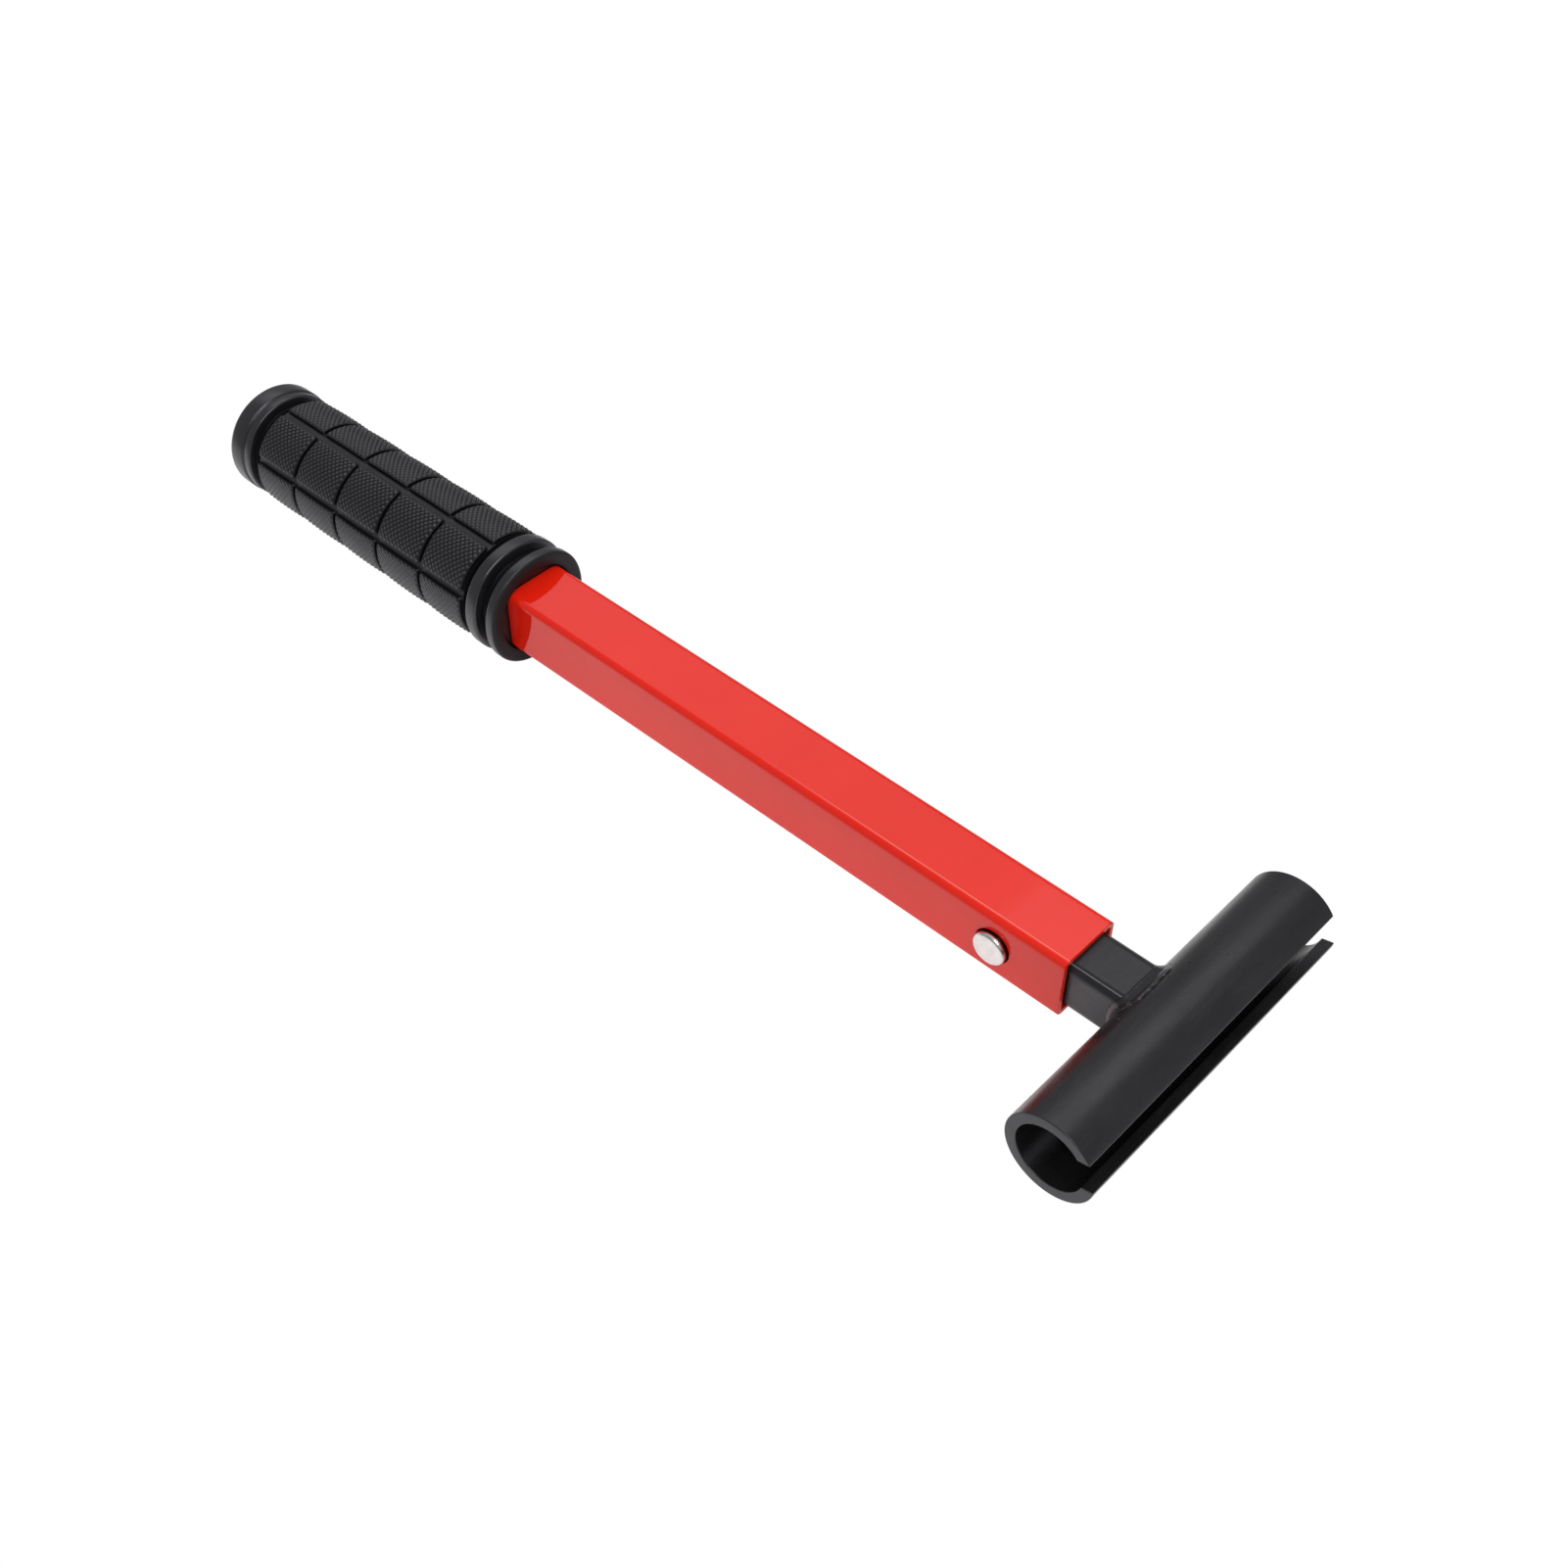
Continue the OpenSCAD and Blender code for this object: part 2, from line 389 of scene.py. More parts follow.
RUBBER_DARK = (0.0105, 0.0102, 0.0115, 1)
RUBBER_LIGHT = (0.0165, 0.0160, 0.0178, 1)
RUBBER_DUST = (0.045, 0.045, 0.046, 1)
RUBBER_SPECK = (0.16, 0.16, 0.16, 1)
RUBBER_LIP = (0.016, 0.016, 0.017, 1)
# painted highlight for the knurl's tips
RUBBER_TIP_HIGHLIGHT = (0.068, 0.068, 0.070, 1)
# painted shade for grooves, knurl valleys and corners
RUBBER_SHADE = (0.0045, 0.0044, 0.0050, 1)
LIP_DEPTH = (0.75, 0.35)  # the smooth lip begins and is full this far in from the mouth


def rubber_colour(tree, place, broad, lip, tips):
    """Black that drifts slightly, with dust, specks, a plain lip and a painted highlight on the
    knurl tips.
    """
    colour = drifting(tree, broad, RUBBER_DARK, RUBBER_LIGHT)
    dust_noise = noise_node(tree, place, scale=0.5, detail=8.0, roughness=0.8)
    colour = tinted(tree, colour, ramp(tree, dust_noise, 0.60, 0.78), 0.25, RUBBER_DUST)
    dots = specks(tree, place, scale=0.2, share=0.06, size=0.04)
    colour = tinted(tree, colour, dots, 0.5, RUBBER_SPECK)
    colour = mix_colour(tree, lip, colour, RUBBER_LIP)
    return tinted(tree, colour, tips, 0.8, RUBBER_TIP_HIGHLIGHT)


def grip_rubber():
    """Soft black moulded rubber, with painted shade in its colour and sheen set by how deep a point
    lies and by the "knurl" attribute.
    """
    material, tree = material_tree("grip_rubber")
    place = rest_coordinates(tree)
    broad = noise_node(tree, place, scale=0.08, detail=4.0, roughness=0.6)
    lip_start, lip_full = (GRIP_MOUTH - depth for depth in LIP_DEPTH)
    lip = ramp(tree, coordinate(tree, place, "X"), lip_start, lip_full)
    knurl = add(tree, "Attribute", attribute_name="knurl").outputs["Fac"]
    colour = rubber_colour(tree, place, broad, lip, ramp(tree, knurl, 0.55, 1.0))
    # painted shade: colour and sheen darken deep in grooves, knurl valleys and corners, where shade
    # falls
    out_of_valleys = ramp(tree, knurl, -0.9, -0.1, 0.15, 1.0)
    open_air = times(tree, crevices(tree, reach=3.5, low=0.40, high=0.82), out_of_valleys)
    sheen = times(tree, open_air, 0.63)
    patchy = ramp(tree, broad, 0.3, 0.7, 0.26, 0.34)
    grain = noise_node(tree, place, scale=6.0, detail=4.0, roughness=0.6)
    inputs = {
        "Base Color": mix_colour(tree, open_air, RUBBER_SHADE, colour),
        "Roughness": math_node(tree, "ADD", patchy, times(tree, lip, 0.25)),
        "Specular IOR Level": times(tree, sheen, ramp(tree, lip, 0.0, 1.0, 1.0, 0.25)),
        "Specular Tint": COOL_TINT,
        "Normal": bump(tree, grain, strength=0.25, depth=0.04),
    }
    finish_surface(tree, inputs)
    return material


# ---------------------------------------------------------------- bare steel

BUTTON_DARK = (0.58, 0.58, 0.575, 1)
BUTTON_LIGHT = (0.73, 0.73, 0.72, 1)
# painted shade down the button's side, towards the tube
BUTTON_SHADE = (0.045, 0.043, 0.043, 1)
SHADE_START = 1.05  # how deep below the button's face the painted shade on its side begins
SHADE_FULL = 1.3
SPRING_DARK = (0.30, 0.31, 0.33, 1)
SPRING_LIGHT = (0.42, 0.43, 0.45, 1)
DRAWN_STRETCH = (0.05, 1.0, 1.0)  # drawing lines run along the spring


def steel_material(name, colour_of, stretch, roughness_low, roughness_high):
    """Plated steel with a fine grain. colour_of(tree, place) gives its colour."""
    material, tree = material_tree(name)
    drawn_out = rest_coordinates(tree, stretch)
    grain = noise_node(tree, drawn_out, scale=7.0, detail=4.0, roughness=0.7)
    inputs = {
        "Base Color": colour_of(tree, rest_coordinates(tree)),
        "Metallic": 1.0,
        "Roughness": ramp(tree, grain, 0.3, 0.7, roughness_low, roughness_high),
        "Normal": bump(tree, grain, strength=0.12, depth=0.02),
    }
    finish_surface(tree, inputs)
    return material


def button_colour(tree, place):
    """Bright on the face, darkened with painted shade down the side towards the tube."""
    broad = noise_node(tree, place, scale=0.5, detail=5.0, roughness=0.6)
    colour = drifting(tree, broad, BUTTON_DARK, BUTTON_LIGHT)
    shade_start, shade_full = (button_low.y + depth for depth in (SHADE_START, SHADE_FULL))
    # painted shade: the side darkens below the face, where it sits in the shade of the hole
    side_shade = ramp(tree, coordinate(tree, place, "Y"), shade_start, shade_full)
    return mix_colour(tree, side_shade, colour, BUTTON_SHADE)


def spring_colour(tree, place):
    broad = noise_node(tree, place, scale=0.5, detail=5.0, roughness=0.6)
    return drifting(tree, broad, SPRING_DARK, SPRING_LIGHT)


def button_steel():
    return steel_material("button_steel", button_colour, (1, 1, 1), 0.22, 0.36)


def spring_steel():
    return steel_material("spring_steel", spring_colour, DRAWN_STRETCH, 0.28, 0.42)


# ---------------------------------------------------------------- CAD tubes

BEVEL_SEGMENTS = 3
BEVEL_ANGLE = math.radians(40)  # edges sharper than this are softened
MERGE_GAP = 0.002  # CAD points closer than this are joined


def dress_cad(node, material, bevel_width):
    """Gives a CAD node its material, smooth faces and softened edges."""
    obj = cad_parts[node]
    obj.data.materials.clear()
    obj.data.materials.append(material)
    obj.data.polygons.foreach_set("use_smooth", [True] * len(obj.data.polygons))
    weld = obj.modifiers.new("weld", "WELD")
    weld.merge_threshold = MERGE_GAP * MM
    bevel = obj.modifiers.new("bevel", "BEVEL")
    bevel.width = bevel_width * MM
    bevel.segments = BEVEL_SEGMENTS
    bevel.limit_method = "ANGLE"
    bevel.angle_limit = BEVEL_ANGLE
    bevel.harden_normals = True
    flatten = obj.modifiers.new("flatten", "WEIGHTED_NORMAL")
    flatten.keep_sharp = True


# ---------------------------------------------------------------- the grip

# distances called s run from the grip's mouth towards its closed end

KNURL_ROUND = 56  # diamonds round the grip
KNURL_PITCH = 20.0 / 11  # length of one diamond along the grip
KNURL_DEPTH = 0.42
POINTS_PER_DIAMOND = 6
RINGS_PER_DIAMOND = 6

PAD_R = 17.15
PAD_TAPER = 0.32  # how much thinner the last pads are than the first
PAD_CORNER = 1.1
PADS_ROUND = 6
PAD_TURN = math.radians(41)
PAD_PITCH = 20.0
FIRST_PAD = 15.2
LAST_PAD = 112.5
CROSS_GROOVE_W = 0.70  # grooves that run round the grip
LONG_GROOVE_W = 1.85  # grooves that run along it
CROSS_GROOVES = 34.0 + np.arange(4) * PAD_PITCH
ROW_STARTS = [FIRST_PAD, *(CROSS_GROOVES + CROSS_GROOVE_W / 2)]
ROW_ENDS = [*(CROSS_GROOVES - CROSS_GROOVE_W / 2), LAST_PAD]

GROOVE_DEPTH = 1.05
WALL_W = 0.30
WALL_STEPS = WALL_W * np.array([0.0, 0.25, 0.5, 0.75, 1.0, 1.6])  # mesh stations up a wall
MESH_GAP = 0.12  # regular mesh stations closer than this to a groove's own are left out
BORDER_W = 0.35  # smooth border round each pad
KNURL_FULL = 1.0  # how far inside a pad's edge the diamonds reach their full height
SHOULDER_W = 1.6
SHOULDER_DROP = 0.03
CROWN = 0.22

SWELL_MOUTH = 0.011  # share of its radius that the tube's corners push the rubber out
SWELL_FADE = 30.0  # length over which that fades
SWELL_END = 0.003  # the share that is left at the closed end

CHANNEL_R = 14.10
NECK_R = 17.12
COLLAR_R = 17.48
END_ROUND = 1.9
END_RECESS = 0.5

# levels of the "knurl" attribute, which runs from -1 in a valley to 1 on a tip; low levels paint
# shade into the rubber's colour and sheen
BORDER_LEVEL = -0.74  # the pads' smooth borders
GROOVE_LEVEL = -0.50  # the grooves between the pads
CHANNEL_LEVEL = -0.95  # the floors of the deep round channels

SLEEVE_GAP = 0.02  # between the handle tube and the rubber round it
SLEEVE_STATIONS = (60.0, 8.0)  # s of two rings that divide the long smooth sleeve
RECESS_R = 13.6  # round recess in the lip, just wide enough for the tube's corners
# (s, share of the way from the tube to the recess's wall, extra rounding) from inside out
MOUTH = [
    (1.50, 0.0, 0.00),
    (1.42, 0.1, 0.00),
    (1.34, 0.4, 0.00),
    (1.28, 0.8, 0.00),
    (1.10, 1.0, 0.00),
    (0.42, 1.0, 0.05),
    (0.24, 1.0, 0.18),
    (0.12, 1.0, 0.45),
]


def swollen(radius, theta, s):
    """A round outline pushed out at the square tube's corners, most of all near the mouth."""
    share = SWELL_MOUTH * np.exp(-s / SWELL_FADE) + SWELL_END
    return radius * (1 - share * np.cos(4 * theta))


def merged(regular, extra, gap):
    """Regular stations with extra ones added, dropping regular ones that lie too close."""
    clear = np.abs(regular[:, None] - extra).min(axis=1) > gap
    return np.sort(np.concatenate([regular[clear], extra]))


def groove_steps(half_width):
    """Mesh stations across a groove: its floor's middle and both its walls."""
    wall = half_width + WALL_STEPS
    return np.concatenate([-wall[::-1], [0.0], wall])


def grip_angles():
    """Mesh angles round the grip, with extra ones across the grooves that run along it."""
    count = KNURL_ROUND * POINTS_PER_DIAMOND
    grooves = PAD_TURN + np.arange(PADS_ROUND) * TAU / PADS_ROUND
    extra = (grooves[:, None] + groove_steps(LONG_GROOVE_W / 2) / PAD_R) % TAU
    return merged(np.arange(count) / count * TAU, extra.ravel(), MESH_GAP / PAD_R)


def pad_stations():
    """Mesh stations along the pads, with extra ones across the grooves that run round them."""
    step = KNURL_PITCH / RINGS_PER_DIAMOND
    regular = np.arange(math.ceil(FIRST_PAD / step), math.floor(LAST_PAD / step) + 1) * step
    grooves = (CROSS_GROOVES[:, None] + groove_steps(CROSS_GROOVE_W / 2)).ravel()
    extra = np.concatenate([grooves, FIRST_PAD + WALL_STEPS, LAST_PAD - WALL_STEPS])
    return merged(regular, extra, MESH_GAP)


def pad_edge_distance(across, along, half_round, half_along):
    """Distance to a pad's rounded outline, negative over the pad."""
    du = np.abs(across) - half_round + PAD_CORNER
    dv = abs(along) - half_along + PAD_CORNER
    outside = np.hypot(np.maximum(du, 0), max(dv, 0))
    return outside + np.minimum(np.maximum(du, dv), 0) - PAD_CORNER


def diamonds(theta, s):
    """Height of the diamond pattern, from 0 in its valleys to 1 on its tips."""
    a = s / KNURL_PITCH
    b = theta / TAU * KNURL_ROUND
    one = 1 - np.abs(2 * ((a + b) % 1) - 1)
    two = 1 - np.abs(2 * ((a - b) % 1) - 1)
    lower = np.minimum(one, two)
    return lower * (2 - lower)


def pad_surface(theta, s):
    """Radius over the pads and their grooves, and the level of the "knurl" attribute there."""
    base = PAD_R - PAD_TAPER * smoothstep(FIRST_PAD, LAST_PAD, s)
    sector = TAU / PADS_ROUND
    across = ((theta - PAD_TURN) % sector - sector / 2) * base
    half_round = sector / 2 * base - LONG_GROOVE_W / 2
    row = np.searchsorted(CROSS_GROOVES, s, side="right")
    along = s - (ROW_STARTS[row] + ROW_ENDS[row]) / 2
    half_along = (ROW_ENDS[row] - ROW_STARTS[row]) / 2
    distance = pad_edge_distance(across, along, half_round, half_along)
    rise = smoothstep(0.0, -WALL_W, distance)
    inset = smoothstep(-BORDER_W, -KNURL_FULL, distance)
    shoulder = SHOULDER_DROP * smoothstep(-SHOULDER_W, -0.1, distance)
    crown = CROWN * (1 - (along / half_along) ** 2)
    height = diamonds(theta, s)
    radius = base - GROOVE_DEPTH * (1 - rise) - shoulder + crown + KNURL_DEPTH * height * inset
    smooth = BORDER_LEVEL * rise + GROOVE_LEVEL * (1 - rise)
    level = inset * (2 * height - 1) + (1 - inset) * smooth
    return radius, level


def channel_level(radius):
    """Level of the "knurl" attribute on a plain ring: low down in a channel, 0 above it."""
    return CHANNEL_LEVEL * smoothstep(CHANNEL_R + 1.2, CHANNEL_R + 0.2, radius)


def rounded_edge(centre_s, top, radius, start, end, count):
    """Outline points (s, r) along an arc that touches top, angles in degrees from +s to +r."""
    turn = np.radians(np.linspace(start, end, count))
    return [(centre_s + radius * math.cos(a), top - radius + radius * math.sin(a)) for a in turn]


def channel_wall(wall, foot, floor):
    """Outline points (s, r) down one side of a round channel."""
    return [(wall, CHANNEL_R + 0.7), (foot, CHANNEL_R + 0.2), (floor, CHANNEL_R)]


def grip_outline_front():
    """Outline (s, r) from the flange's lip over its two rings, up to the pads."""
    outline = [(0.12, 15.2), (0.05, 15.8), (0.02, 16.3)]
    outline += rounded_edge(1.15, RING_R, 1.15, 172, 90, 7)
    outline += rounded_edge(2.85, RING_R, 0.7, 90, 5, 6)
    outline += [(3.60, RING_R - 1.2)]
    outline += channel_wall(3.66, 3.80, 4.15)
    outline += reversed(channel_wall(7.94, 7.80, 7.45))
    outline += [(8.02, RING_R - 1.3)]
    outline += rounded_edge(8.95, RING_R, 0.9, 178, 90, 6)
    outline += rounded_edge(11.60, RING_R, 0.9, 90, 2, 6)
    outline += [(12.55, RING_R - 1.5)]
    outline += channel_wall(12.63, 12.80, 13.1)
    outline += reversed(channel_wall(14.92, 14.75, 14.45))
    outline += [(15.10, 15.9)]
    return outline


def grip_outline_back():
    """Outline (s, r) from the last pads over the neck and the collar to the end's centre."""
    end = GRIP_LEN
    outline = [(112.7, 15.6)]
    outline += channel_wall(112.9, 113.1, 113.4)
    outline += reversed(channel_wall(116.3, 116.15, 115.8))
    outline += [(116.38, 16.2)]
    outline += rounded_edge(117.0, NECK_R, 0.6, 175, 90, 5)
    outline += [(118.9, 17.14), (119.2, 17.05), (119.42, 16.78), (119.62, 16.78), (119.82, 17.1)]
    outline += [(120.05, COLLAR_R - 0.1), (120.4, COLLAR_R), (123.0, COLLAR_R)]
    outline += rounded_edge(end - END_ROUND, COLLAR_R, END_ROUND, 90, 0, 9)
    outline += [(end, 14.4), (end - 0.05, 14.1), (end - 0.45, 13.7)]
    outline += [(end - END_RECESS, 13.2), (end - END_RECESS, 6.0)]
    return outline


def inside_stations(theta):
    """(s, radius, level) of the rings inside the grip, from its closed end out to its lip."""
    tube = square_radius(theta, HANDLE_HALF + SLEEVE_GAP, HANDLE_CORNER)
    closed_end = GRIP_LEN - GRIP_END_WALL
    stations = [(closed_end, tube * 0.4, 0.0), (closed_end, tube, 0.0)]
    for s in SLEEVE_STATIONS:
        stations.append((s, tube, 0.0))
    for s, share, rounding in MOUTH:
        stations.append((s, tube + share * (RECESS_R - tube) + rounding, 0.0))
    return stations


def plain_stations(theta, outline):
    """(s, radius, level) of the smooth rings along an outline."""
    return [(s, swollen(r, theta, s), channel_level(r)) for s, r in outline]


def knurled_stations(theta):
    """(s, radius, level) of the rings over the pads."""
    stations = []
    for s in pad_stations():
        radius, level = pad_surface(theta, s)
        stations.append((s, swollen(radius, theta, s), level))
    return stations


def make_grip(material):
    """One closed skin: sleeve round the tube, mouth, rings, knurled pads, neck and end."""
    theta = grip_angles()
    stations = inside_stations(theta) + plain_stations(theta, grip_outline_front())
    stations += knurled_stations(theta) + plain_stations(theta, grip_outline_back())
    rings = []
    for s, radius, _ in stations:
        x = np.full(len(theta), GRIP_MOUTH - s)
        rings.append(np.stack([x, radius * np.cos(theta), radius * np.sin(theta)], axis=-1))
    levels = [np.broadcast_to(level, theta.shape) for _, _, level in stations]
    points, faces = lofted(other_way_round(rings))
    grip = new_object("rubber_grip", points, faces, "handle", material)
    values = np.zeros(len(grip.data.vertices))
    values[: len(rings) * len(theta)] = other_way_round(levels).ravel()
    grip.data.attributes.new("knurl", "FLOAT", "POINT").data.foreach_set("value", values)
    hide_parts("grip")


# ---------------------------------------------------------------- the weld

WELD_POINTS = 360  # round the stem
WELD_STEPS = 9  # across the bead
WELD_LEG = 2.30
LEG_RIPPLE = 0.05
LEG_WANDER = 0.13
WELD_BULGE = 0.10
BULGE_RIPPLE = 0.05
BULGE_WANDER = 0.07
WELD_HOLLOW = 0.95  # a power: below 1 the face is fuller, above 1 it is more hollow
WELD_SINK = 0.25  # how far the bead reaches into the stem
RIPPLE_PITCH = 1.7
WANDER_WAVES = 14
WANDER_SHIFT = 40  # points between the leg's wander and the bulge's
SPATTER_BEADS = 7
SPATTER_R = (0.14, 0.26)
SPATTER_Y = (3.0, 19.0)  # distance from the stem's middle, to either side
SPATTER_LIFT = (46, 110)  # degrees round the cross tube from the stem, upwards
BEAD_ROWS = 5
BEAD_COLUMNS = 10


def weld_path():
    """The stem's outline in y and z, its outward normal, and the distance travelled round it."""
    turn = np.arange(WELD_POINTS) / WELD_POINTS * TAU
    outline = square_radius(turn, STEM_HALF, STEM_CORNER)
    y, z = outline * np.cos(turn), outline * np.sin(turn)
    dy = np.roll(y, -1) - np.roll(y, 1)
    dz = np.roll(z, -1) - np.roll(z, 1)
    length = np.hypot(dy, dz)
    return y, z, dz / length, -dy / length, np.cumsum(length) / 2


def weld_waves(travel):
    """The welder's regular ripple and the bead's random wander, at each point of the path."""
    total = travel[-1]
    lap = TAU * travel / total
    ripple = 0.5 * np.cos(np.round(total / RIPPLE_PITCH) * lap + 1.5 * np.sin(5 * lap))
    wander = np.zeros(len(travel))
    for k in range(1, WANDER_WAVES + 1):
        size = rng.uniform(0.3, 1.0) / k
        wander += size * np.cos(k * lap + rng.uniform(0, TAU))
    return ripple, wander


def weld_rings(y, z, normal_y, normal_z, leg, bulge):
    """Rings round the stem: over the bead's face, then back through the metal under it."""
    rings = []
    for k in range(WELD_STEPS + 1):
        # from the stem's surface to the cross tube's
        turn = k / WELD_STEPS * math.pi / 2
        swell = 0.7 * bulge * math.sin(2 * turn)
        out = leg * (1 - math.cos(turn)) ** WELD_HOLLOW + swell
        back = leg * (1 - math.sin(turn)) ** WELD_HOLLOW + swell
        face_z = z + normal_z * out
        tube_x = -np.sqrt(np.maximum(CROSS_R**2 - face_z**2, 1.0))
        rings.append(np.stack([tube_x - back, y + normal_y * out, face_z], axis=-1))
    # three rings buried in the walls of the two tubes
    inner_y, inner_z = y - normal_y * WELD_SINK, z - normal_z * WELD_SINK
    inner_x = -np.sqrt(CROSS_R**2 - inner_z**2)
    deep = [inner_x + 0.45, inner_y + normal_y * leg * 0.6, inner_z + normal_z * leg * 0.6]
    heel = [inner_x + 0.3, inner_y, inner_z]
    toe = [inner_x - leg * 0.9, inner_y, inner_z]
    rings += [np.stack(ring, axis=-1) for ring in (deep, heel, toe)]
    return np.array(rings)


def spatter_bead(centre, radius):
    """Points and faces of a small ball."""
    around = np.arange(BEAD_COLUMNS) / BEAD_COLUMNS * TAU
    rings = []
    for row in range(1, BEAD_ROWS):
        polar = math.pi * row / BEAD_ROWS
        x = centre.x + radius * math.sin(polar) * np.cos(around)
        y = centre.y + radius * math.sin(polar) * np.sin(around)
        z = np.full(BEAD_COLUMNS, centre.z + radius * math.cos(polar))
        rings.append(np.stack([x, y, z], axis=-1))
    return lofted(other_way_round(rings))


def add_spatter(points, faces):
    """Adds small welding beads, stuck to the cross tube near the seam."""
    for _ in range(SPATTER_BEADS):
        radius = rng.uniform(*SPATTER_R)
        side = rng.choice([-1, 1])
        along = side * rng.uniform(*SPATTER_Y)
        lift = math.radians(rng.uniform(*SPATTER_LIFT))
        normal = Vector((-math.cos(lift), 0, math.sin(lift)))
        centre = normal * (CROSS_R + radius * 0.25) + Vector((0, along, 0))
        bead_points, bead_faces = spatter_bead(centre, radius)
        faces += [[i + len(points) for i in face] for face in bead_faces]
        points = np.vstack([points, bead_points])
    return points, faces


def make_weld(material):
    """An uneven fillet bead round the stem where it meets the cross tube, with spatter."""
    y, z, normal_y, normal_z, travel = weld_path()
    ripple, wander = weld_waves(travel)
    leg = WELD_LEG + LEG_WANDER * wander + LEG_RIPPLE * ripple
    bulge = WELD_BULGE + BULGE_RIPPLE * ripple + BULGE_WANDER * np.roll(wander, WANDER_SHIFT)
    rings = weld_rings(y, z, normal_y, normal_z, leg, bulge)
    points, faces = add_spatter(*lofted(rings, close_loop=True))
    weld = new_object("weld_seam", points, faces, "head", material)
    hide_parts("weld_bead")


# ---------------------------------------------------------------- button and spring

BUTTON_POINTS = 96  # round the button
STUD_R = 4.9
STUD_RIM = 0.9
SHOULDER_TOP = 5.5  # depths below the button's face
SHOULDER_BOTTOM = 6.5
SHOULDER_BEVEL = 0.15
TAIL_R = 2.0
RIVET_TOP = 7.3

STRIP_THICK = 0.8
STRIP_EDGE = 0.12
BACK_ARM = 22.5  # straight length of the arm that stays on the head


def button_outline():
    """(depth, radius) from the face over the rim, shoulder and tail to the riveted head."""
    shoulder = (button_high.x - button_low.x) / 2
    length = button_high.y - button_low.y
    outline = [(0.02, 0.4), (0.0, STUD_R - STUD_RIM - 0.3)]
    for a in np.radians(np.linspace(90, 0, 9)):
        outline.append((STUD_RIM * (1 - math.sin(a)), STUD_R - STUD_RIM * (1 - math.cos(a))))
    outline += [(2.4, STUD_R), (SHOULDER_TOP - SHOULDER_BEVEL, STUD_R)]
    outline += [(SHOULDER_TOP, shoulder - SHOULDER_BEVEL), (SHOULDER_TOP + SHOULDER_BEVEL, shoulder)]
    outline += [(SHOULDER_BOTTOM - SHOULDER_BEVEL, shoulder)]
    outline += [(SHOULDER_BOTTOM, shoulder - SHOULDER_BEVEL), (SHOULDER_BOTTOM, TAIL_R + 0.1)]
    outline += [(SHOULDER_BOTTOM + 0.1, TAIL_R), (RIVET_TOP, TAIL_R), (RIVET_TOP, 2.8)]
    outline += [(RIVET_TOP + 0.15, 3.0), (RIVET_TOP + 0.35, 2.9), (length, 2.3), (length, 0.4)]
    return outline


def make_button(material):
    """Turned stud: flat face, rounded rim, shoulder, tail and riveted head."""
    centre_x = (button_low.x + button_high.x) / 2
    around = np.arange(BUTTON_POINTS) / BUTTON_POINTS * TAU
    rings = []
    for depth, radius in button_outline():
        y = np.full(BUTTON_POINTS, button_low.y + depth)
        x, z = centre_x + radius * np.cos(around), radius * np.sin(around)
        rings.append(np.stack([x, y, z], axis=-1))
    points, faces = lofted(other_way_round(rings))
    button = new_object("release_button", points, faces, "button", material)
    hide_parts("snap_button")


def spring_path(bend_x, radius):
    """(x, y, outward x, outward y) of the strip's face, from the front arm's tip to the back's."""
    y_front, y_back = spring_low.y, spring_high.y
    middle = (y_front + y_back) / 2
    path = [(x, y_front, 0, -1) for x in np.linspace(spring_high.x, bend_x, 24)]
    for a in np.radians(np.linspace(0, 180, 25)[1:-1]):
        out_x, out_y = -math.sin(a), -math.cos(a)
        path.append((bend_x + radius * out_x, middle + radius * out_y, out_x, out_y))
    path += [(x, y_back, 0, 1) for x in np.linspace(bend_x, bend_x + BACK_ARM, 18)]
    return path


def strip_outline():
    """The strip's cross-section: (z, depth below its face)."""
    half = spring_high.z
    low, high = STRIP_EDGE, STRIP_THICK - STRIP_EDGE
    outline = [(-half, low), (STRIP_EDGE - half, 0), (half - STRIP_EDGE, 0), (half, low)]
    outline += [(half, high), (half - STRIP_EDGE, STRIP_THICK)]
    outline += [(STRIP_EDGE - half, STRIP_THICK), (-half, high)]
    return outline


def make_spring(material):
    """Bent spring strip with a front arm by the button and a back arm."""
    radius = (spring_high.y - spring_low.y) / 2
    bend_x = spring_low.x + radius
    section = strip_outline()
    rings = []
    for x, y, out_x, out_y in spring_path(bend_x, radius):
        rings.append([(x - out_x * depth, y - out_y * depth, z) for z, depth in section])
    points, faces = lofted(np.array(rings))
    spring = new_object("button_leaf_spring", points, faces, None, material, smooth=False)
    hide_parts("button_spring")
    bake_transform(spring)


# ---------------------------------------------------------------- stage

# radiance, where the floor and the background look 1 to the camera
AMBIENT = 0.38
FLOOR_GLOW = 0.12
FLOOR_SHEEN = 0.38  # the floor's glow in mirror reflections
FLOOR_DIM = 0.30  # share of its light left at the sides
FLOOR_BRIGHT_Y = (0.04, 0.15)  # metres to the side where it starts and ends dimming

FLOOR_HALF = 6.0  # metres
FLOOR_GAP = 0.5  # millimetres below the wrench

# the photograph's viewpoint: angles from -Y towards +X and up, lengths in metres
CAMERA_AZIMUTH = math.radians(42.52)
CAMERA_ELEVATION = math.radians(45.34)
CAMERA_ROLL = math.radians(0.53)
CAMERA_DISTANCE = 0.5277
CAMERA_AIM = Vector((-0.124, -0.004, 0.0))
CAMERA_LENS = 45.40  # millimetres, on a sensor CAMERA_SENSOR wide
CAMERA_SENSOR = 36.0


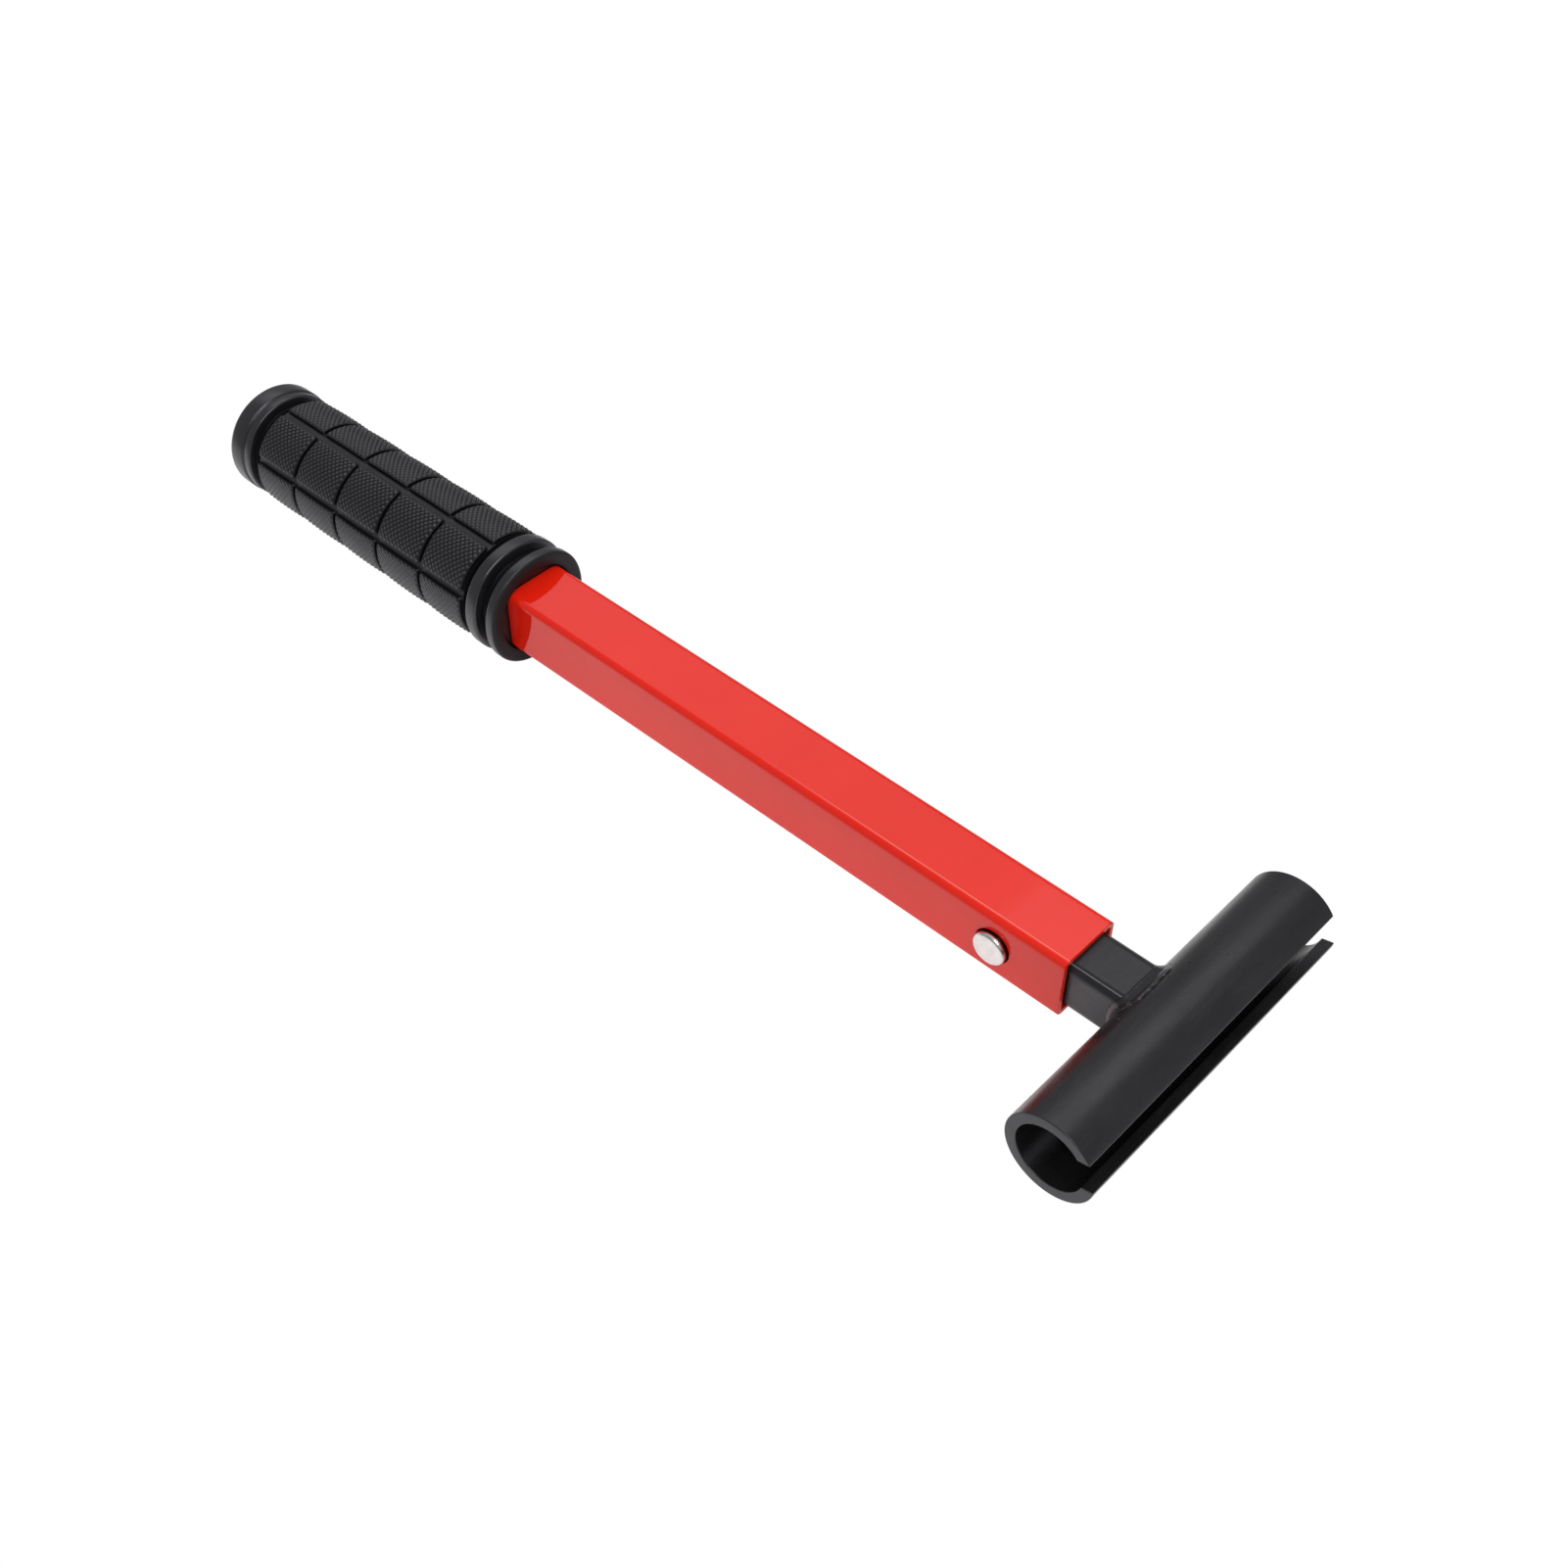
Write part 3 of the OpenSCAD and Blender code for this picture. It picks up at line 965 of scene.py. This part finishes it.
def paper_light(tree, ray):
    """White paper, brightest along the middle, with a glow of its own for mirror reflections."""
    place = add(tree, "TexCoord").outputs["Object"]
    fibres = noise_node(tree, place, scale=3.0, detail=2.0)
    paper_tone = ramp(tree, fibres, 0.3, 0.7, 0.93, 0.95)
    sideways = math_node(tree, "ABSOLUTE", coordinate(tree, place, "Y"))
    falloff = ramp(tree, sideways, *FLOOR_BRIGHT_Y, 1.0, FLOOR_DIM)
    tone = times(tree, paper_tone, falloff)
    colour = add(tree, "CombineColor", {0: tone, 1: tone, 2: tone}).outputs[0]
    paper = add(tree, "BsdfDiffuse", {"Color": colour}).outputs[0]
    extra = ramp(tree, ray["Is Glossy Ray"], 0.0, 1.0, FLOOR_GLOW, FLOOR_SHEEN)
    glow = add(tree, "Emission", {"Strength": times(tree, falloff, extra)}).outputs[0]
    return add(tree, "AddShader", {0: paper, 1: glow}).outputs[0]


def floor_material():
    """Paper that lights the object, looks evenly white from above and can't be seen from below."""
    material, tree = material_tree("floor_white")
    ray = add(tree, "LightPath").outputs
    white = add(tree, "Emission", {"Strength": 1.0}).outputs[0]
    lit = paper_light(tree, ray)
    above = add(tree, "MixShader", {0: ray["Is Camera Ray"], 1: lit, 2: white}).outputs[0]
    from_below = add(tree, "NewGeometry").outputs["Backfacing"]
    clear = add(tree, "BsdfTransparent").outputs[0]
    both = add(tree, "MixShader", {0: from_below, 1: above, 2: clear}).outputs[0]
    add(tree, "OutputMaterial", {"Surface": both})
    return material


def make_floor(z):
    mesh = bpy.data.meshes.new("floor")
    corners = [(x * FLOOR_HALF, y * FLOOR_HALF, z) for x, y in ((-1, -1), (1, -1), (1, 1), (-1, 1))]
    mesh.from_pydata(corners, [], [(0, 1, 2, 3)])
    mesh.materials.append(floor_material())
    floor = bpy.data.objects.new("floor", mesh)
    bpy.context.scene.collection.objects.link(floor)


def make_world():
    """Even grey light all round, which the camera itself sees as white."""
    world = bpy.data.worlds.new("studio")
    world.use_nodes = True
    tree = world.node_tree
    tree.nodes.clear()
    camera_ray = add(tree, "LightPath").outputs["Is Camera Ray"]
    strength = ramp(tree, camera_ray, 0.0, 1.0, AMBIENT, 1.0)
    background = add(tree, "Background", {"Color": (1, 1, 1, 1), "Strength": strength})
    add(tree, "OutputWorld", {"Surface": background.outputs[0]})
    bpy.context.scene.world = world


def area_light(name, place, target, size, radiance):
    """A rectangular lamp in metres that faces the target, as bright as the radiance asked for."""
    width, depth = size
    data = bpy.data.lights.new(name, "AREA")
    data.shape = "RECTANGLE"
    data.size = width
    data.size_y = depth
    data.energy = radiance * math.pi * width * depth
    light = bpy.data.objects.new(name, data)
    light.location = place
    light.rotation_mode = "QUATERNION"
    light.rotation_quaternion = (target - place).to_track_quat("-Z", "Y")
    bpy.context.scene.collection.objects.link(light)


def ceiling_light(name, x, y, z, size, radiance):
    """A lamp that faces straight down."""
    area_light(name, Vector((x, y, z)), Vector((x, y, 0)), size, radiance)


def make_lights(centre):
    """Two ceiling lamps that the top faces mirror, a broad fill and a small strong lamp."""
    ceiling_light("softbox", -1.25, 0.90, 2.0, size=(3.3, 1.6), radiance=0.82)
    ceiling_light("glow", -0.45, 1.15, 1.9, size=(1.0, 0.7), radiance=0.45)
    fill_place = centre + Vector((1.3, -0.25, 2.35))
    area_light("fill", fill_place, centre, size=(1.2, 1.2), radiance=5.3)
    lamp_place = centre + Vector((1.35, -1.55, 2.60))
    area_light("lamp", lamp_place, centre, size=(0.45, 0.45), radiance=24.0)


def make_camera():
    """The photograph's viewpoint, in the object's frame."""
    level = math.cos(CAMERA_ELEVATION)
    back_x, back_y = math.sin(CAMERA_AZIMUTH) * level, -math.cos(CAMERA_AZIMUTH) * level
    back = Vector((back_x, back_y, math.sin(CAMERA_ELEVATION)))
    camera = bpy.data.objects.new("camera", bpy.data.cameras.new("camera"))
    camera.data.lens = CAMERA_LENS
    camera.data.sensor_width = CAMERA_SENSOR
    camera.data.clip_start = 0.01
    camera.location = CAMERA_AIM + back * CAMERA_DISTANCE
    facing = (-back).to_track_quat("-Z", "Y").to_matrix().to_4x4()
    roll = Matrix.Rotation(CAMERA_ROLL, 4, Vector((0, 0, 1)))
    camera.rotation_mode = "QUATERNION"
    camera.rotation_quaternion = (facing @ roll).to_quaternion()
    bpy.context.scene.collection.objects.link(camera)
    bpy.context.scene.camera = camera


def make_stage():
    """Pale floor, soft studio light and the camera."""
    low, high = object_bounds()
    make_floor(low.z - FLOOR_GAP * MM)
    make_world()
    make_lights((low + high) / 2)
    make_camera()
    bpy.context.scene.view_settings.view_transform = "Standard"


# ---------------------------------------------------------------- build

dress_cad("handle_tube", red_paint(), bevel_width=0.18)
# the stem's paint has a painted highlight line on its upper edge
dress_cad("head_stem", black_paint("stem_paint", edge_highlight=True), bevel_width=0.12)
dress_cad("cross_tube", black_paint("black_paint"), bevel_width=0.25)
make_grip(grip_rubber())
make_weld(black_paint("weld_metal", lift=0.9, peel_depth=0.22))
make_button(button_steel())
make_spring(spring_steel())
make_stage()
